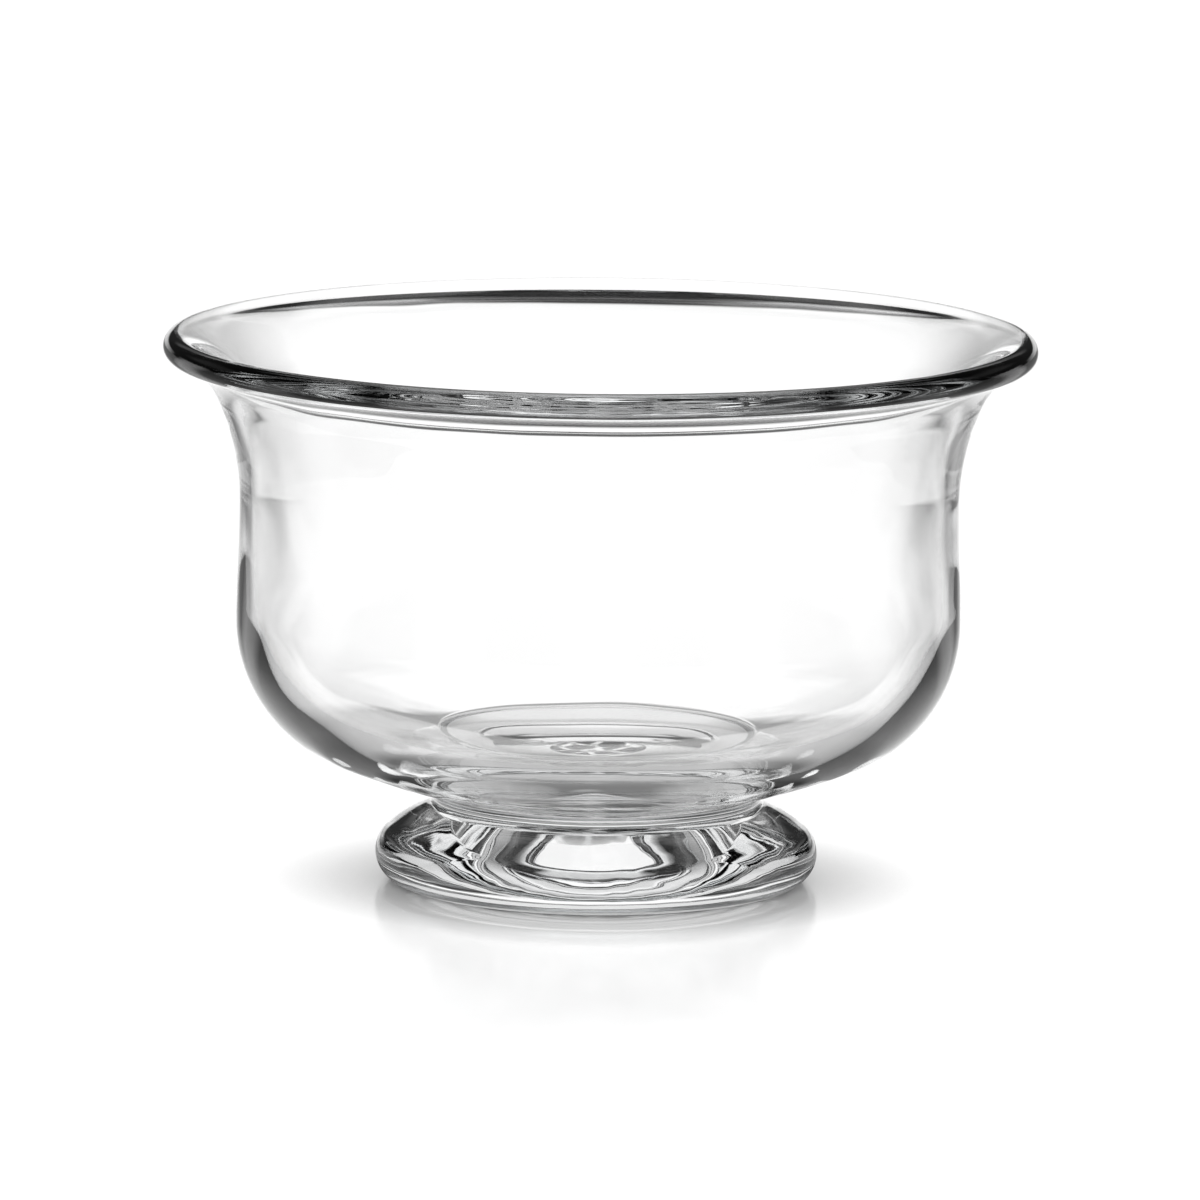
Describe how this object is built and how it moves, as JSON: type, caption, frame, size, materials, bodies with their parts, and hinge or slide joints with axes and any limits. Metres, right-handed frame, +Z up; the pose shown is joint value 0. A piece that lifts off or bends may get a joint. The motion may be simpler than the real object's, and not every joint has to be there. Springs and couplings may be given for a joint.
{
  "type": "footed glass bowl",
  "caption": "Clear hand-blown glass bowl with a flared, rounded rim on a low applied foot, with a broken pontil mark underneath.",
  "frame": {"origin": "centre of the foot's contact ring, on the table", "axes": "+Z up along the bowl's axis of turning; it is round, so +X and +Y are free"},
  "size_m": [0.203, 0.203, 0.1285],
  "materials": {
    "clear_glass": "fire-polished clear glass",
    "broken_glass": "rough broken glass"
  },
  "bodies": {
    "root": {"bowl": "clear_glass", "foot": "clear_glass", "pontil_mark": "broken_glass"}
  },
  "joints": []
}
